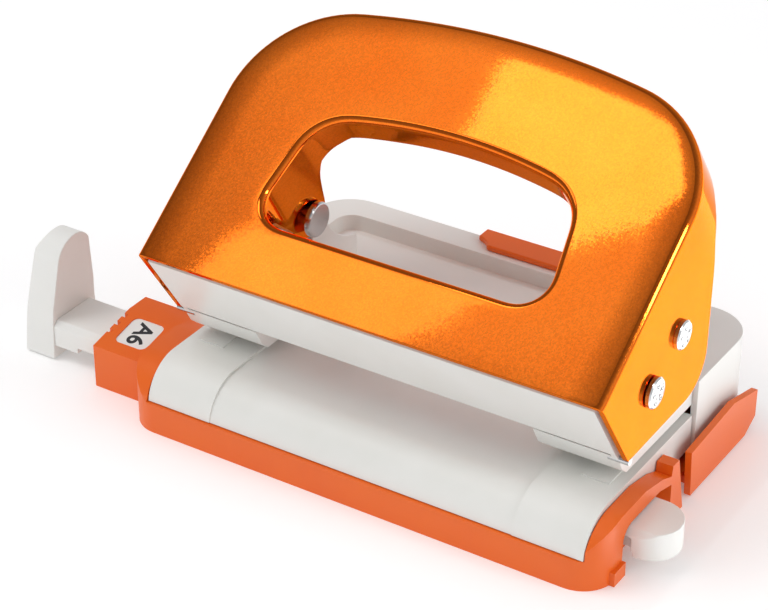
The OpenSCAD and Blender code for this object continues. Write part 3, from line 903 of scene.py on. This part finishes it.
# Half sections of the two kinds of pin, from their inner end outwards: position and radius.
PIVOT_PROFILE = (
    (0.0, 0.0), (0.0, 1.7), (0.3, 2.0), (18.4, 2.0),
    (18.4, 3.0), (18.5, 3.1), (19.2, 3.1), (19.5, 2.8), (19.6, 2.4), (19.6, 0.0),
)
DRIVE_PROFILE = (
    (0.0, 0.0), (0.0, 3.25), (0.1, 3.45), (0.3, 3.6), (0.45, 3.65), (1.25, 3.65), (1.4, 3.5),
    (1.4, 2.0), (22.4, 2.0), (22.4, 2.8), (22.5, 2.9), (23.2, 2.9), (23.5, 2.6), (23.6, 2.2), (23.6, 0.0),
)
KEPT = (
    ("rubber_feet", FOOT_RUBBER),
    ("format_window", GUIDE_ABS),
    ("detent_spring", SPRING_WIRE),
    ("stop_pins", RIVET_STEEL),
    ("body_rivets", RIVET_STEEL),
    ("tray_hinge_pin", TOOL_STEEL),
    *(
        (f"{kind}_{side}", TOOL_STEEL)
        for kind in ("die", "guide_bush", "punch", "spring_cap")
        for side in ("left", "right")
    ),
)


# ---------------------------------------------------------------- the studio


@dataclass
class Studio:
    """Camera, floor and soft lights."""

    eye: tuple[float, float, float] = (204.4, -340.3, 268.3)
    target: tuple[float, float, float] = (-9.1, -6.4, 29.3)
    lens: float = 112.5
    overhead: tuple[float, float, float] = (-0.43, -0.2, 0.88)
    fall: tuple[Point, ...] = (
        (0.0, 0.65), (0.5, 0.28), (0.95, 0.16), (0.975, 0.28), (0.99, 0.52), (0.9955, 0.85), (0.999, 0.95)
    )
    room: float = 0.84
    key: float = 3.4
    side: float = 2.0

    def camera(self) -> None:
        """Places the camera."""
        data = bpy.data.cameras.new("camera")
        data.lens = self.lens
        data.sensor_width = 36.0
        data.clip_start = 0.01
        data.clip_end = 20.0
        camera = bpy.data.objects.new("camera", data)
        bpy.context.scene.collection.objects.link(camera)
        camera.location = Vector(self.eye) * MM
        camera.rotation_euler = (Vector(self.target) - Vector(self.eye)).to_track_quat("-Z", "Y").to_euler()
        bpy.context.scene.camera = camera

    def floor(self) -> None:
        """A pale plain floor."""
        set_down()
        bpy.ops.mesh.primitive_plane_add(size=6.0, location=(0, 0, 0))
        floor = bpy.context.object
        floor.name = "floor"
        material = bpy.data.materials.new("pale floor")
        material.use_nodes = True
        tree = material.node_tree
        tree.nodes.clear()
        shader = put(tree, "ShaderNodeBsdfPrincipled", {
            "Base Color": (0.93, 0.93, 0.93, 1),
            "Roughness": 0.7,
            "Specular IOR Level": 0.2,
            "Emission Color": (1, 1, 1, 1),
            "Emission Strength": 0.14,
        })
        put(tree, "ShaderNodeOutputMaterial", {"Surface": shader.outputs["BSDF"]})
        floor.data.materials.append(material)

    def light(
        self, name: str, place: Sequence[float], aim: Sequence[float], size: Point, power: float
    ) -> None:
        """A soft rectangular light.

        Args:
            name: The light's name.
            place: Its centre in millimetres.
            aim: What it faces, in millimetres.
            size: Its width and height in millimetres.
            power: Its power in watts.
        """
        data = bpy.data.lights.new(name, "AREA")
        data.shape = "RECTANGLE"
        data.size, data.size_y = size[0] * MM, size[1] * MM
        data.energy = power
        lamp = bpy.data.objects.new(name, data)
        bpy.context.scene.collection.objects.link(lamp)
        lamp.location = Vector(place) * MM
        lamp.rotation_euler = (Vector(aim) - Vector(place)).to_track_quat("-Z", "Y").to_euler()
        lamp.visible_glossy = False

    def surroundings(self) -> None:
        """A pale room; shiny faces see it darken away from the light overhead on the left."""
        world = bpy.data.worlds.new("studio")
        bpy.context.scene.world = world
        world.use_nodes = True
        tree = world.node_tree
        tree.nodes.clear()
        towards = put(tree, "ShaderNodeTexCoord").outputs["Generated"]
        unit = put(tree, "ShaderNodeVectorMath", {0: towards}, operation="NORMALIZE")
        near = put(tree, "ShaderNodeVectorMath", {
            0: unit.outputs["Vector"], 1: self.overhead,
        }, operation="DOT_PRODUCT")
        fall = put(tree, "ShaderNodeValToRGB", {"Fac": near.outputs["Value"]})
        stops = fall.color_ramp.elements
        ends = [(stops[0], self.fall[0]), (stops[1], self.fall[-1])]
        for stop, (place, grey) in ends:
            stop.position = place
            stop.color = (grey, grey, grey, 1.0)
        for place, grey in self.fall[1:-1]:
            stops.new(place).color = (grey, grey, grey, 1.0)
        mirrored = put(tree, "ShaderNodeBackground", {"Color": fall.outputs["Color"], "Strength": 1.1})
        room = put(tree, "ShaderNodeBackground", {"Color": (0.8, 0.8, 0.81, 1), "Strength": self.room})
        seen = put(tree, "ShaderNodeBackground", {"Color": (1.0, 1.0, 1.0, 1), "Strength": 1.0})
        ray = put(tree, "ShaderNodeLightPath")
        soft = put(tree, "ShaderNodeMixShader", {
            0: ray.outputs["Is Glossy Ray"], 1: room.outputs[0], 2: mirrored.outputs[0],
        })
        mixed = put(tree, "ShaderNodeMixShader", {
            0: ray.outputs["Is Camera Ray"], 1: soft.outputs[0], 2: seen.outputs[0],
        })
        put(tree, "ShaderNodeOutputWorld", {"Surface": mixed.outputs[0]})

    def card(self, name: str, corners: Sequence[Sequence[float]], glow: float) -> None:
        """A bright card that only shows as a reflection.

        Args:
            name: The card's name.
            corners: Its corners in millimetres.
            glow: Its brightness.
        """
        card = corner_face(name, corners)
        material = bpy.data.materials.new(name)
        material.use_nodes = True
        tree = material.node_tree
        tree.nodes.clear()
        lit = put(tree, "ShaderNodeEmission", {"Color": (1.0, 1.0, 1.0, 1.0), "Strength": glow})
        put(tree, "ShaderNodeOutputMaterial", {"Surface": lit.outputs[0]})
        card.data.materials.append(material)
        card.visible_camera = card.visible_diffuse = card.visible_shadow = card.visible_transmission = False

    def build(self) -> None:
        """Sets everything up."""
        bpy.context.scene.view_settings.view_transform = "Standard"
        self.camera()
        self.floor()
        self.surroundings()
        for name, corners, glow in CARDS:
            self.card(name, corners, glow)
        self.light("key", (-500, -300, 900), (0, 0, 30), (500, 500), self.key)
        self.light("side", (900, 100, 420), (0, 0, 30), (300, 500), self.side)


# Bright cards over the handle, behind it on the right, and a narrow strip along its right fold.
CARDS = (
    ("low card", (
        (-99, -50, 174), (-111, -61, 164), (-117, -76, 156),
        (-72, -85, 179), (-57, -70, 193), (-50, -59, 200),
    ), 1.9),
    ("high card", (
        (-62, 2, 206), (-68, -34, 195), (-39, -49, 205), (-31, -45, 210), (-3, -30, 226), (-14, -5, 226),
    ), 2.9),
    ("floor card", ((62, -30, 0.4), (300, -30, 0.4), (300, 400, 0.4), (62, 400, 0.4)), 2.2),
    ("strip card", ((262, -50, 262), (330, 26, 152), (325, 50, 172), (256, -26, 280)), 18.0),
)


def main() -> None:
    """Builds the punch and its studio."""
    logging.basicConfig(level=logging.INFO, format="%(name)s: %(message)s")
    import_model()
    Studio().build()
    dress(Handle().build(), HANDLE_LACQUER, "handle", "handle_shell")
    for softened in SOFTENED:
        softened.build()
    for side, name in ((-1, "left"), (1, "right")):
        ReturnSpring(side).build()
        Rivet(f"pivot_pin_{name}", (side * 32.3, -10.5, 32.6), side, PIVOT_PROFILE, "base").build()
        Rivet(f"drive_pin_{name}", (side * 28.1, 0.0, 39.3), side, DRIVE_PROFILE, "handle").build()
    FormatMark().build()
    for node, finish in KEPT:
        kept = bpy.data.objects[node]
        kept.data.materials.clear()
        kept.data.materials.append(finish.make())


if __name__ == "__main__":
    main()
